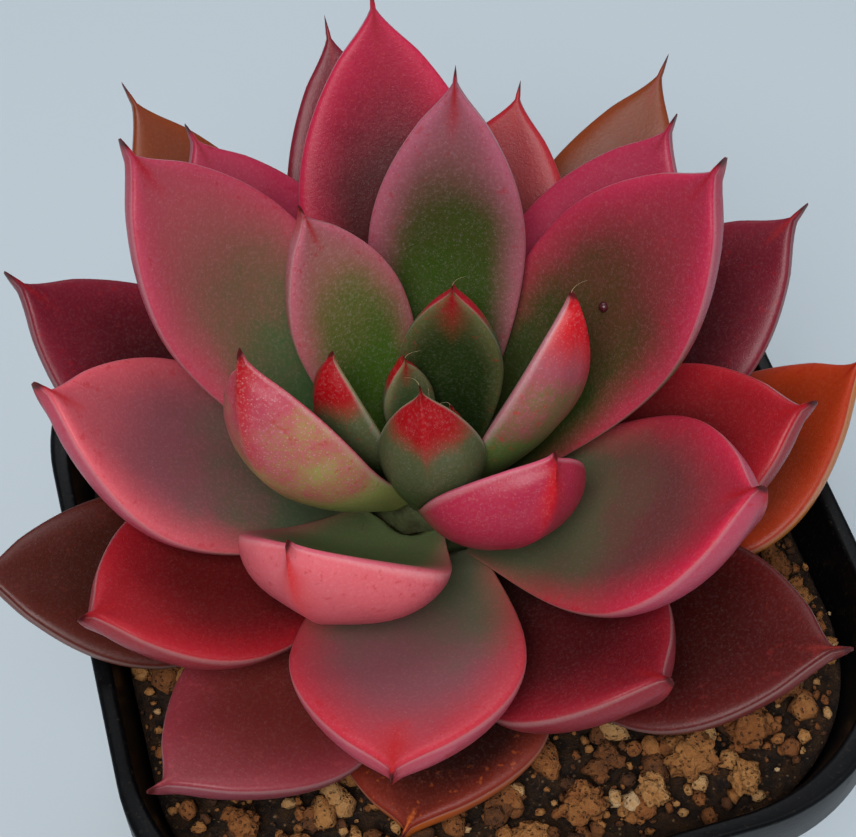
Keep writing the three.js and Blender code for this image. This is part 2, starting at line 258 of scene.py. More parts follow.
def roughen(tree, shader, height, depth):
    """Bump of the given depth in metres on the shader."""
    bump = tree.nodes.new("ShaderNodeBump")
    feed(tree, bump.inputs["Height"], height)
    feed(tree, bump.inputs["Distance"], depth)
    feed(tree, bump.inputs["Strength"], 1.0)
    tree.links.new(bump.outputs[0], shader.inputs["Normal"])


# ------------------------------------------------------------------ leaf skin

SKIN_COLOURS = ("Root", "Face", "Margin", "Tip", "Under Root", "Under", "Keel")
SKIN_NUMBERS = ("Root Reach", "Margin Width", "Tip Reach", "Under Tip", "Powder")


def build_leaf_skin():
    """Colour, roughness and height over a leaf, read from how far along, across and which
    face each point lies."""
    inputs = [(name, "colour") for name in SKIN_COLOURS]
    inputs += [(name, "number") for name in SKIN_NUMBERS]
    outputs = [("Colour", "colour"), ("Roughness", "number"), ("Height", "number")]
    tree, given, out = start_group("leaf_skin", inputs, outputs)
    ends = given.outputs
    along = read(tree, "along")
    across = calculate(tree, "ABSOLUTE", read(tree, "across"))
    facing = read(tree, "facing")
    slow = calculate(tree, "SUBTRACT", grain(tree, 110, 3, 0.6), 0.5)
    fine = calculate(tree, "SUBTRACT", grain(tree, 2600, 3, 0.65), 0.5)
    stray = calculate(
        tree,
        "ADD",
        calculate(tree, "MULTIPLY", slow, 0.55),
        calculate(tree, "MULTIPLY", fine, 0.32),
    )

    # Upper face: root colour fades into the face, and the face into the margin.
    root_edge = calculate(tree, "ADD", along, calculate(tree, "MULTIPLY", stray, 0.8))
    root_end = calculate(tree, "ADD", ends["Root Reach"], 0.22)
    root_start = calculate(tree, "SUBTRACT", ends["Root Reach"], 0.2)
    rooted = fade(tree, root_edge, root_start, root_end, 1.0, 0.0)
    upper = mix(tree, rooted, ends["Face"], ends["Root"])
    late = fade(tree, along, 0.2, 1.0)
    side = calculate(tree, "MULTIPLY", across, fade(tree, along, 0.0, 0.5, 0.72, 1.0))
    sides = calculate(tree, "POWER", side, 3.0)
    cubes = calculate(tree, "ADD", sides, calculate(tree, "POWER", late, 3.0))
    outward = calculate(tree, "POWER", cubes, 1 / 3)
    outward = calculate(tree, "ADD", outward, calculate(tree, "MULTIPLY", stray, 0.4))
    margin_start = calculate(tree, "SUBTRACT", 0.92, ends["Margin Width"])
    upper = mix(tree, fade(tree, outward, margin_start, 1.18), upper, ends["Margin"])
    point = calculate(tree, "SUBTRACT", along, calculate(tree, "MULTIPLY", across, 0.2))
    point = calculate(tree, "ADD", point, calculate(tree, "MULTIPLY", stray, 0.25))
    tip_start = calculate(tree, "SUBTRACT", 1.0, ends["Tip Reach"])
    tipped = fade(tree, point, tip_start, 0.95)
    upper = mix(tree, tipped, upper, ends["Tip"])

    # Underside: root colour in grains, and a keel that reddens towards the tip.
    under_edge = calculate(tree, "ADD", along, calculate(tree, "MULTIPLY", stray, 1.4))
    rooted = fade(tree, under_edge, root_start, root_end, 1.0, 0.0)
    under = mix(tree, rooted, ends["Under"], ends["Under Root"])
    ridge = calculate(tree, "SUBTRACT", along, calculate(tree, "MULTIPLY", across, 0.55))
    ridge = calculate(tree, "ADD", ridge, calculate(tree, "MULTIPLY", stray, 0.4))
    under = mix(tree, fade(tree, ridge, 0.55, 0.95), under, ends["Keel"])
    under_start = calculate(tree, "SUBTRACT", 1.0, ends["Under Tip"])
    under_end = calculate(tree, "ADD", under_start, 0.12)
    blunt = calculate(tree, "ADD", point, calculate(tree, "MULTIPLY", across, 0.17))
    under = mix(tree, fade(tree, blunt, under_start, under_end), under, ends["Tip"])
    colour = mix(tree, fade(tree, facing, -0.12, 0.12), under, upper)
    freckles = fade(tree, grain(tree, 1000, 2, 0.6), 0.6, 0.7, 0.0, 0.4)
    freckles = calculate(tree, "MULTIPLY", freckles, fade(tree, outward, 0.6, 0.95))
    colour = mix(tree, freckles, colour, ends["Tip"])

    # A painted highlight as a thin pale line along the margin, powder in specks, and the dark dry spine.
    highlight_line = fade(tree, calculate(tree, "ABSOLUTE", facing), 0.02, 0.2, 1.0, 0.0)
    highlight_line = calculate(tree, "MULTIPLY", highlight_line, fade(tree, along, 0.1, 0.4, 0.0, 0.1))
    colour = mix(tree, highlight_line, colour, PALE_POWDER_AND_HIGHLIGHT)
    speck = fade(tree, cells(tree, 2600), 0.10, 0.3, 1.0, 0.0)
    dusting = fade(tree, calculate(tree, "ADD", fine, 0.5), 0.45, 0.75, 0.0, 0.45)
    powder = calculate(tree, "ADD", calculate(tree, "MULTIPLY", speck, 0.55), dusting)
    powder = calculate(tree, "MULTIPLY", powder, ends["Powder"])
    colour = mix(tree, powder, colour, PALE_POWDER_AND_HIGHLIGHT)
    colour = mix(tree, fade(tree, along, 0.962, 0.985), colour, linear("4a1214"))
    feed(tree, out.inputs["Colour"], colour)
    sheen = calculate(tree, "ADD", 0.38, calculate(tree, "MULTIPLY", slow, 0.3))
    feed(tree, out.inputs["Roughness"], sheen)
    height = calculate(tree, "ADD", calculate(tree, "MULTIPLY", fine, 0.5), slow)
    height = calculate(tree, "ADD", height, calculate(tree, "MULTIPLY", speck, 0.12))
    feed(tree, out.inputs["Height"], height)
    return tree


LEAF_SKIN = build_leaf_skin()
SKIN_DEPTH = 0.00006

# Each finish: its colours in the order of SKIN_COLOURS, and its numbers in that of SKIN_NUMBERS.
FINISHES = {
    "heart": (
        ("2f441c", "475a34", "74704e", "9c0812", "3c5226", "555c3c", "8c2a2a"),
        (0.35, 0.4, 0.34, 0.33, 0.1),
    ),
    # The heart finish made darker throughout: painted shade for a bud that sits in shadow.
    "heart_painted_shade": (
        ("20300f", "2c3a18", "5c5c38", "9c0c1c", "344622", "4a5a34", "88202c"),
        (0.5, 0.35, 0.38, 0.3, 0.06),
    ),
    "green_rose": (
        ("44601c", "76663e", "b25c6a", "a80f1c", "56692a", "a46068", "a81422"),
        (0.55, 0.5, 0.22, 0.16, 0.16),
    ),
    "fold_rose": (
        ("3c5030", "4a5440", "a86c74", "c00f1c", "5e7238", "a04c58", "c01420"),
        (0.6, 0.4, 0.24, 0.24, 0.12),
    ),
    "keel_rose": (
        ("4c5c34", "6a5c4a", "b84858", "a80c18", "929a52", "b04254", "b8141f"),
        (0.6, 0.4, 0.2, 0.18, 0.24),
    ),
    "keel_red": (
        ("5c6646", "7c5c58", "c0506a", "b0141f", "985c52", "a82844", "c40f1a"),
        (0.3, 0.4, 0.2, 0.14, 0.1),
    ),
    "keel_coral": (
        ("66744a", "6a7652", "c85a6c", "b01c22", "b05062", "d2606a", "c82024"),
        (0.5, 0.4, 0.15, 0.1, 0.1),
    ),
    "green_dark": (
        ("30460f", "3a3a16", "a45468", "98101e", "4a5a20", "a85a6c", "a81c2c"),
        (0.5, 0.42, 0.22, 0.12, 0.08),
    ),
    "sage_rose": (
        ("46603a", "845248", "b03a52", "a81a2c", "55623a", "a8485a", "b02a3a"),
        (0.45, 0.5, 0.2, 0.12, 0.08),
    ),
    "olive_rose": (
        ("343e18", "66302a", "b42a4a", "a8142a", "465628", "a8465a", "b02034"),
        (0.5, 0.42, 0.16, 0.12, 0.06),
    ),
    "maroon_rose": (
        ("34181a", "461216", "b82044", "981426", "52302a", "a0405a", "a82438"),
        (0.3, 0.44, 0.16, 0.12, 0.04),
    ),
    "mauve_rose": (
        ("545840", "6a3838", "bc2440", "b41220", "68503f", "b2465c", "b82434"),
        (0.4, 0.38, 0.18, 0.12, 0.06),
    ),
    "sage_mauve": (
        ("4f5a42", "80464f", "cc5460", "b01c28", "62604a", "b0465a", "a8283a"),
        (0.4, 0.4, 0.2, 0.12, 0.07),
    ),
    "rose": (
        ("481c22", "8c2c44", "a42846", "8c1428", "5a3a3a", "9c4054", "982438"),
        (0.3, 0.45, 0.16, 0.1, 0.05),
    ),
    "mauve_red": (
        ("5c604a", "7e4a52", "b82c3c", "b00f14", "68584a", "b44658", "b02c34"),
        (0.38, 0.44, 0.26, 0.12, 0.06),
    ),
    "red_wine": (
        ("34120f", "641618", "a41c28", "a0161e", "4e2220", "903038", "982830"),
        (0.3, 0.44, 0.2, 0.1, 0.03),
    ),
    "deep_red": (
        ("2e1210", "501418", "8c1c2a", "94161e", "4a1e1e", "842a34", "902830"),
        (0.34, 0.46, 0.2, 0.1, 0.04),
    ),
    "wine": (
        ("240a0c", "3c0c12", "74182a", "88121c", "40191c", "7a2c38", "882a36"),
        (0.3, 0.42, 0.18, 0.1, 0.03),
    ),
    "dark_wine": (
        ("240a08", "360c0a", "581514", "7a2420", "40191a", "702e2c", "7c3430"),
        (0.3, 0.38, 0.16, 0.1, 0.03),
    ),
    "old_rose": (
        ("361412", "64221f", "86303a", "983a42", "4c2826", "863e48", "984450"),
        (0.3, 0.45, 0.14, 0.1, 0.04),
    ),
    "umber": (
        ("1c0e06", "341006", "50180f", "602018", "341e12", "6a3226", "74382a"),
        (0.4, 0.36, 0.14, 0.1, 0.02),
    ),
    "rust_edge": (
        ("1e0c06", "2a0e0a", "7c281a", "bc5c24", "4a2214", "b85c34", "c07838"),
        (0.4, 0.24, 0.14, 0.2, 0.03),
    ),
    "rust": (
        ("4a2408", "6a240a", "a4300c", "901208", "6a4018", "c0702f", "a83e28"),
        (0.45, 0.36, 0.12, 0.1, 0.02),
    ),
    "amber": (
        ("240c05", "54200a", "7a3410", "7c240c", "43260f", "7c4426", "88482a"),
        (0.3, 0.45, 0.14, 0.1, 0.02),
    ),
}


def leaf_material(finish):
    material, tree, shader = start_material(
        "leaf_" + finish,
        Subsurface_Weight=0.1,
        Subsurface_Scale=0.002,
        Specular_IOR_Level=0.26,
    )
    codes, shares = FINISHES[finish]
    colours = dict(zip(SKIN_COLOURS, map(linear, codes)))
    numbers = dict(zip(SKIN_NUMBERS, shares))
    skin = place_group(tree, LEAF_SKIN, **colours, **numbers)
    tree.links.new(skin.outputs["Colour"], shader.inputs["Base Color"])
    tree.links.new(skin.outputs["Roughness"], shader.inputs["Roughness"])
    roughen(tree, shader, skin.outputs["Height"], SKIN_DEPTH)
    return material


# ------------------------------------------------------------------ leaves


def leaf_outline(t):
    """Half width at share t of the length, against the greatest half width."""
    if t < WIDEST:
        return NECK + (1 - NECK) * math.sin(math.pi / 2 * t / WIDEST) ** OUTLINE_RISE
    past = min(1.0, (t - WIDEST) / (SPINE_START - WIDEST))
    blade = (1 - past * past) * (1 - TIP_TAPER * smooth_step(past, 0.75, 1.0))
    spine = SPINE_WIDTH * min(1.0, (1 - t) / (1 - SPINE_START))
    return max(blade, spine)


def leaf_fullness(t):
    """Thickness at share t of the length, against the greatest thickness."""
    if t < THICKEST:
        rise = math.sin(math.pi / 2 * t / THICKEST) ** FULLNESS_RISE
        return ROOT_THINNING + (1 - ROOT_THINNING) * rise
    past = (t - THICKEST) / (1 - THICKEST)
    return 1 - TIP_THINNING * past * past


def leaf_point(number, leaf, t, cosine, sine):
    """A point of the leaf's skin in its own frame, where it grows along +X from its root."""
    lift, _, reach, width, curl, roll, bow, _ = leaf[:8]
    bend = math.radians(curl)
    start = math.radians(lift) - bend / 2
    arc = reach * (bend / 2) / math.sin(bend / 2)
    wide = width / 2 * leaf_outline(t)
    deep = LEAF_THICKNESS / 2 * min(1, width / FULL_WIDTH) ** YOUNG_PLUMPNESS * leaf_fullness(t)
    age = number / (len(LEAVES) - 1)
    rim = math.copysign(abs(cosine) ** MARGIN_FULLNESS, cosine)
    wrap = LEAF_CUP + (OUTER_CUP - LEAF_CUP) * age + ROOT_WRAP * (1 - t) ** WRAP_FADE
    cup = wrap * wide * rim * rim
    keel = KEEL_RISE * smooth_step(t, 0.35, 0.85) * max(0.0, 1 - 2.2 * abs(rim)) ** 1.5
    share = UPPER_SHARE if sine > 0 else (2 - UPPER_SHARE) * (1 + keel)
    across = wide * rim
    spot = Vector((t * reach, across, number * 9.7)) * WAVE_SCALE
    wave = WAVE_RISE * noise.noise(spot) * 4 * t * (1 - t)
    up = cup + deep * sine * share + wave
    turn = math.radians(roll)
    sideways = across * math.cos(turn) - up * math.sin(turn) + bow * 4 * t * (1 - t)
    outward = across * math.sin(turn) + up * math.cos(turn)
    slope = start + bend * t
    run = arc / bend * (math.sin(slope) - math.sin(start))
    rise = arc / bend * (math.cos(start) - math.cos(slope))
    return Vector((run - outward * math.sin(slope), sideways, rise + outward * math.cos(slope)))


def crown_point(number):
    """Distance from the plant's axis and height of a leaf's root."""
    height = -(CROWN_DROP * number + CROWN_FALL * number * number)
    return CROWN_SPREAD * math.sqrt(number + 0.5), height


def plant_frame():
    """The matrix from the leaning plant's frame to the row frame, both in millimetres."""
    turn_x = Matrix.Rotation(math.radians(LEAN_X), 4, "X")
    turn_y = Matrix.Rotation(math.radians(LEAN_Y), 4, "Y")
    return Matrix.Translation(CROWN) @ turn_x @ turn_y


def leaf_placement(number, leaf):
    """The matrix from a leaf's own frame to the row frame, both in millimetres."""
    azimuth = math.radians(FIRST_LEAF_ANGLE - GOLDEN_ANGLE * number + leaf[1])
    radius, height = crown_point(number)
    root = Vector((radius * math.cos(azimuth), radius * math.sin(azimuth), height))
    swung = Matrix.Rotation(azimuth + math.radians(leaf[7]), 4, "Z")
    return plant_frame() @ Matrix.Translation(root) @ swung


def grow_leaf(number, leaf, material, slot):
    bm = bmesh.new()
    bmesh.ops.create_uvsphere(bm, u_segments=LEAF_SIDES, v_segments=LEAF_ROWS, radius=1)
    along = bm.verts.layers.float.new("along")
    across = bm.verts.layers.float.new("across")
    facing = bm.verts.layers.float.new("facing")
    placement = Matrix.Scale(MM, 4) @ leaf_placement(number, leaf)
    for vert in bm.verts:
        share = 1 - math.acos(max(-1.0, min(1.0, vert.co.z))) / math.pi
        ring = math.hypot(vert.co.x, vert.co.y)
        cosine, sine = (vert.co.x / ring, vert.co.y / ring) if ring > 0.001 else (0, 0)
        t = 1 - (1 - share) ** ROW_CROWDING
        vert[along] = t
        vert[across] = math.copysign(abs(cosine) ** MARGIN_FULLNESS, cosine)
        vert[facing] = sine
        vert.co = placement @ leaf_point(number, leaf, t, cosine, sine)
    name = f"leaf_{number + 1:02d}"
    return add_piece("fine_" + name, bm, material, slot, name)


FIRST_YOUNG = 6
FIRST_MATURE = 15
FIRST_OLD = 26


def leaf_slot(number):
    if number < FIRST_YOUNG:
        return "heart_leaf"
    if number < FIRST_MATURE:
        return "young_leaf"
    return "mature_leaf" if number < FIRST_OLD else "old_leaf"


leaf_materials = {finish: leaf_material(finish) for finish in FINISHES}
for number, leaf in enumerate(LEAVES):
    grow_leaf(number, leaf, leaf_materials[leaf[8]], leaf_slot(number))

# ------------------------------------------------------------------ dry hairs on bud tips

HAIR_LENGTH = 2.6
HAIR_WIDTH = 0.11
HAIR_JOINTS = 5
HAIR_DROOP = 0.22  # how far each joint turns aside
HAIR_TAPER = 0.72  # width of each joint against the last one
HAIRED_LEAVES = (0, 1, 2, 4, 5, 7)


def hair_material():
    material, tree, shader = start_material("dry_hair", Subsurface_Weight=0.2, Subsurface_Scale=0.0005)
    colour = mix(tree, grain(tree, 900), linear("b9aa8a"), linear("7c6a4c"))
    tree.links.new(colour, shader.inputs["Base Color"])
    feed(tree, shader.inputs["Roughness"], fade(tree, grain(tree, 1500), 0.3, 0.7, 0.55, 0.75))
    return material


def grow_hair(number, material):
    """A thin dry hair that carries on from a leaf's spine and bends over a little."""
    leaf = LEAVES[number]
    placement = leaf_placement(number, leaf)
    tip = placement @ leaf_point(number, leaf, 0.99, 0, 0)
    before = placement @ leaf_point(number, leaf, 0.95, 0, 0)
    heading = (tip - before).normalized()
    bm = bmesh.new()
    ring = bmesh.ops.create_circle(bm, cap_ends=True, segments=6, radius=HAIR_WIDTH / 2)["verts"]
    turned = heading.to_track_quat("Z", "Y").to_matrix().to_4x4()
    bmesh.ops.transform(bm, matrix=Matrix.Translation(tip) @ turned, verts=ring)
    face = bm.faces[:][0]
    droop = Vector((math.sin(number * 2.1), math.cos(number * 2.1), -0.1)) * HAIR_DROOP
    for _ in range(HAIR_JOINTS):
        face = extend(bm, face)
        heading = (heading + droop).normalized()
        bmesh.ops.translate(bm, verts=face.verts, vec=heading * HAIR_LENGTH / HAIR_JOINTS)
        centre = face.calc_center_median()
        shrink = Matrix.Translation(centre) @ Matrix.Scale(HAIR_TAPER, 4) @ Matrix.Translation(-centre)
        bmesh.ops.transform(bm, matrix=shrink, verts=face.verts)
    bmesh.ops.scale(bm, vec=(MM, MM, MM), verts=bm.verts)
    add_piece(f"hair_{number + 1:02d}", bm, material, "heart_leaf")


def extend(bm, face):
    """Extrudes one face and gives back the new end face."""
    made = bmesh.ops.extrude_face_region(bm, geom=[face])["geom"]
    end = [item for item in made if isinstance(item, bmesh.types.BMFace)][0]
    bmesh.ops.delete(bm, geom=[face], context="FACES_ONLY")
    return end


dry_hair = hair_material()
for number in HAIRED_LEAVES:
    grow_hair(number, dry_hair)

# ------------------------------------------------------------------ blister on one leaf

BLISTERED_LEAF = 12
BLISTER_ALONG = 0.52
BLISTER_RADIUS = 0.6


def blister_material():
    material, tree, shader = start_material("blister", Specular_IOR_Level=0.6)
    colour = mix(tree, grain(tree, 2000), linear("2a0a10"), linear("5a1e28"))
    tree.links.new(colour, shader.inputs["Base Color"])
    feed(tree, shader.inputs["Roughness"], fade(tree, grain(tree, 1500), 0.3, 0.7, 0.2, 0.32))
    return material


def raise_blister(number, share, radius):
    """A small dark blister on the middle line of a leaf's upper face."""
    leaf = LEAVES[number]
    spot = leaf_placement(number, leaf) @ leaf_point(number, leaf, share, 0, 1)
    bm = bmesh.new()
    bmesh.ops.create_uvsphere(bm, u_segments=24, v_segments=12, radius=radius)
    bmesh.ops.transform(bm, matrix=Matrix.Scale(MM, 4) @ Matrix.Translation(spot), verts=bm.verts)
    add_piece("leaf_blister", bm, blister_material(), leaf_slot(number))


raise_blister(BLISTERED_LEAF, BLISTER_ALONG, BLISTER_RADIUS)

# ------------------------------------------------------------------ pot

POT_TOP = 90
POT_BASE = 66
POT_HEIGHT = 80
POT_WALL = 1.2
POT_FLOOR = 1.6
TOP_CORNER = 24
BASE_CORNER = 15
RIM_STEP = 0.9
RIM_DEPTH = 9
RIM_ROUND = 0.6
FOOT_BEVEL = 1
CORNER_STEPS = 24
DRAIN_RADIUS = 4
DRAIN_OFFSET = 17
SOIL_DROP = 8
SOIL_TOP = POT_HEIGHT - SOIL_DROP


def wall_at(height):
    """Half the distance across the flats outside the wall."""
    return POT_BASE / 2 + (POT_TOP / 2 - RIM_STEP - POT_BASE / 2) * height / POT_HEIGHT


def corner_at(height):
    return BASE_CORNER + (TOP_CORNER - BASE_CORNER) * min(1, max(0, height / POT_HEIGHT))


def spin_round(bm, parts, steps):
    """Spins a profile once round Z and closes its seam."""
    turn = 2 * math.pi
    bmesh.ops.spin(
        bm, geom=parts, axis=(0, 0, 1), cent=(0, 0, 0), angle=turn, steps=steps, use_merge=True
    )
    bmesh.ops.remove_doubles(bm, verts=bm.verts, dist=0.0005)


def square_turn(profile, corner_for):
    """Spins a profile of half widths and heights, then presses each ring into a square with
    rounded corners."""
    columns = 4 * (CORNER_STEPS + 1)
    bm = bmesh.new()
    verts = [bm.verts.new((half, 0, height)) for half, height in profile]
    edges = [bm.edges.new(pair) for pair in zip(verts, verts[1:])]
    spin_round(bm, verts + edges, columns)
    for vert in bm.verts:
        half = math.hypot(vert.co.x, vert.co.y)
        if half < 0.001:
            continue
        column = round(math.atan2(vert.co.y, vert.co.x) / (2 * math.pi) * columns) % columns
        quarter, step = divmod(column, CORNER_STEPS + 1)
        corner = min(corner_for(vert.co.z), half)
        start = quarter * math.pi / 2
        angle = start + step / CORNER_STEPS * math.pi / 2
        centre = math.sqrt(2) * (half - corner)
        vert.co.x = math.cos(start + math.pi / 4) * centre + math.cos(angle) * corner
        vert.co.y = math.sin(start + math.pi / 4) * centre + math.sin(angle) * corner
    return bm


def rounded(points, middle, radius, first, last, steps=4):
    """Adds an arc from angle first to last, in degrees, round the middle."""
    for step in range(steps + 1):
        angle = math.radians(first + (last - first) * step / steps)
        points.append((middle[0] + radius * math.cos(angle), middle[1] + radius * math.sin(angle)))


def pot_profile():
    band = POT_HEIGHT - RIM_DEPTH
    rim = POT_TOP / 2
    inside = wall_at(POT_HEIGHT) - POT_WALL
    points = [(0, 0), (wall_at(0) - FOOT_BEVEL - 4, 0)]
    rounded(points, (wall_at(0) - FOOT_BEVEL, FOOT_BEVEL), FOOT_BEVEL, -90, 0)
    points += [(wall_at(share * band), share * band) for share in (0.1, 0.4, 0.7, 0.98)]
    points.append((wall_at(band), band))
    rounded(points, (rim - RIM_ROUND / 2, band + RIM_ROUND / 2), RIM_ROUND / 2, -90, 0)
    rounded(points, (rim - RIM_ROUND, POT_HEIGHT - RIM_ROUND), RIM_ROUND, 0, 90, 6)
    rounded(points, (inside + RIM_ROUND, POT_HEIGHT - RIM_ROUND), RIM_ROUND, 90, 180, 6)
    points += [(wall_at(height) - POT_WALL, height) for height in (76, 70, 40, POT_FLOOR + FOOT_BEVEL)]
    points += [(wall_at(POT_FLOOR) - POT_WALL - FOOT_BEVEL, POT_FLOOR), (0, POT_FLOOR)]
    return points


def pot_material():
    material, tree, shader = start_material("pot_plastic", Specular_IOR_Level=0.14)
    mottle = grain(tree, 60, 4, 0.6)
    scuff = fade(tree, grain(tree, 420, 6, 0.75), 0.55, 0.75)
    dust = fade(tree, grain(tree, 1900, 3, 0.7), 0.58, 0.72)
    colour = mix(tree, mottle, linear("030405"), linear("08090c"))
    colour = mix(tree, calculate(tree, "MULTIPLY", scuff, 0.12), colour, linear("3c4048"))
    colour = mix(tree, calculate(tree, "MULTIPLY", dust, 0.07), colour, linear("8a7a66"))
    tree.links.new(colour, shader.inputs["Base Color"])
    shine = calculate(tree, "ADD", 0.3, calculate(tree, "MULTIPLY", mottle, 0.16))
    shine = calculate(tree, "ADD", shine, calculate(tree, "MULTIPLY", scuff, 0.15))
    tree.links.new(shine, shader.inputs["Roughness"])
    roughen(tree, shader, calculate(tree, "ADD", grain(tree, 1400, 2), mottle), 0.00003)
    return material


def mould_pot(material):
    bm = square_turn(pot_profile(), corner_at)
    bmesh.ops.scale(bm, vec=(MM, MM, MM), verts=bm.verts)
    pot = add_piece("fine_pot", bm, material, "pot", "pot")
    cutters = bmesh.new()
    for quarter in range(4):
        angle = (quarter + 0.5) * math.pi / 2
        reach = DRAIN_OFFSET * math.sqrt(2) * MM
        spot = Matrix.Translation((reach * math.cos(angle), reach * math.sin(angle), 0))
        bmesh.ops.create_cone(
            cutters,
            cap_ends=True,
            segments=40,
            radius1=DRAIN_RADIUS * MM,
            radius2=DRAIN_RADIUS * MM,
            depth=6 * POT_FLOOR * MM,
            matrix=spot,
        )
    mesh = bpy.data.meshes.new("drain_cutters")
    cutters.to_mesh(mesh)
    cutters.free()
    cutter = bpy.data.objects.new("drain_cutters", mesh)
    bpy.context.scene.collection.objects.link(cutter)
    cut = pot.modifiers.new("drain", "BOOLEAN")
    cut.object = cutter
    cut.solver = "EXACT"
    graph = bpy.context.evaluated_depsgraph_get()
    cut_mesh = bpy.data.meshes.new_from_object(pot.evaluated_get(graph))
    pot.modifiers.clear()
    pot.data = cut_mesh
    bpy.data.objects.remove(cutter)
    pot.data.set_sharp_from_angle(angle=math.radians(40))


mould_pot(pot_material())

# ------------------------------------------------------------------ growing medium

SOIL_GAP = 0.3
SOIL_ROUGHNESS = 1.8  # height of the surface's lumps
STEM_RADIUS = 8
ROOT_DEPTH = 26
ROOT_TIP_RADIUS = 1.5
ROOT_SHOULDER_DEPTH = 4
ROOT_SHOULDER_INSET = 1.5
COLLAR_RISE = 1
LEAF_SEAT = 0.35
STEM_SIDES = 48
DOME_STEP = 3  # leaves between one point of the dome's profile and the next
PLANT_FOOT = Vector((-3.5, -1.2))  # where the stem enters the medium
SURFACE_RINGS = 56


def soil_material():
    material, tree, shader = start_material("growing_medium", Specular_IOR_Level=0.3)
    lumps = grain(tree, 420, 5, 0.7)
    fibre = grain(tree, 1500, 4, 0.7)
    colour = mix(tree, fade(tree, lumps, 0.35, 0.65), linear("120a07"), linear("382413"))
    colour = mix(tree, fade(tree, fibre, 0.56, 0.7, 0.0, 0.7), colour, linear("6a4a30"))
    colour = mix(tree, fade(tree, cells(tree, 900), 0.08, 0.2, 0.5, 0.0), colour, linear("9a7a58"))
    tree.links.new(colour, shader.inputs["Base Color"])
    feed(tree, shader.inputs["Roughness"], fade(tree, lumps, 0.3, 0.7, 0.8, 0.98))
    roughen(tree, shader, calculate(tree, "ADD", lumps, calculate(tree, "MULTIPLY", fibre, 0.5)), 0.0012)
    return material


def fill_pot(material):
    bottom = POT_FLOOR + SOIL_GAP

    def inner(height):
        return wall_at(height) - POT_WALL - SOIL_GAP

    points = [(0, bottom), (inner(bottom) - 1, bottom), (inner(bottom + 1), bottom + 1)]
    points += [(inner(height), height) for height in (30, 55, SOIL_TOP - 1.2)]
    top = inner(SOIL_TOP) - 0.6
    points += [(top * (1 - ring / SURFACE_RINGS), SOIL_TOP) for ring in range(SURFACE_RINGS + 1)]
    bm = square_turn(points, corner_at)
    for vert in bm.verts:
        if vert.co.z > SOIL_TOP - 0.01:
            spot = Vector((vert.co.x, vert.co.y, 0))
            lump = noise.noise(spot * 0.33) + 0.6 * noise.noise(spot * 0.8) + 0.4 * noise.noise(spot * 1.9)
            vert.co.z += SOIL_ROUGHNESS * (0.6 * lump - 0.35)
    bmesh.ops.scale(bm, vec=(MM, MM, MM), verts=bm.verts)
    add_piece("fine_substrate", bm, material, "substrate", "substrate")


fill_pot(soil_material())

# ------------------------------------------------------------------ stem


def stem_material():
    material, tree, shader = start_material("stem_bark", Subsurface_Weight=0.05, Subsurface_Scale=0.001)
    streak = grain(tree, 260, 4, 0.6)
    colour = mix(tree, fade(tree, streak, 0.35, 0.65), linear("3a3b22"), linear("55603a"))
    colour = mix(tree, fade(tree, cells(tree, 420), 0.1, 0.3, 0.6, 0.0), colour, linear("4a2a22"))
    tree.links.new(colour, shader.inputs["Base Color"])
    feed(tree, shader.inputs["Roughness"], fade(tree, streak, 0.3, 0.7, 0.55, 0.75))
    roughen(tree, shader, streak, 0.0006)
    return material


def grow_stem(material):
    """The short stem under the leaves, ringed by leaf scars, and its tap root."""
    soil = CROWN.z - SOIL_TOP
    profile = [
        (0, -soil - ROOT_DEPTH),
        (ROOT_TIP_RADIUS, -soil - ROOT_DEPTH + ROOT_TIP_RADIUS),
        (STEM_RADIUS - ROOT_SHOULDER_INSET, -soil - ROOT_SHOULDER_DEPTH),
        (STEM_RADIUS, -soil + COLLAR_RISE),
    ]
    for number in range(len(LEAVES) - 1, -1, -DOME_STEP):
        radius, height = crown_point(number)
        profile.append((radius - LEAF_SEAT, height - LEAF_SEAT))
    profile.append((0, -LEAF_SEAT))
    bm = bmesh.new()
    verts = [bm.verts.new((radius, 0, height)) for radius, height in profile]
    edges = [bm.edges.new(pair) for pair in zip(verts, verts[1:])]
    spin_round(bm, verts + edges, STEM_SIDES)
    bmesh.ops.subdivide_edges(bm, edges=bm.edges, cuts=1, use_grid_fill=True)
    for vert in bm.verts:
        ripple = math.sin(vert.co.z * 2.2) * 0.12 + noise.noise(vert.co * 0.7) * 0.25
        ring = Vector((vert.co.x, vert.co.y, 0))
        if ring.length > 0.5:
            vert.co -= ring.normalized() * abs(ripple)
    bmesh.ops.transform(bm, matrix=Matrix.Scale(MM, 4) @ plant_frame(), verts=bm.verts)
    add_piece("fine_stem", bm, material, "stem", "stem")


grow_stem(stem_material())

# ------------------------------------------------------------------ crumbs and grit


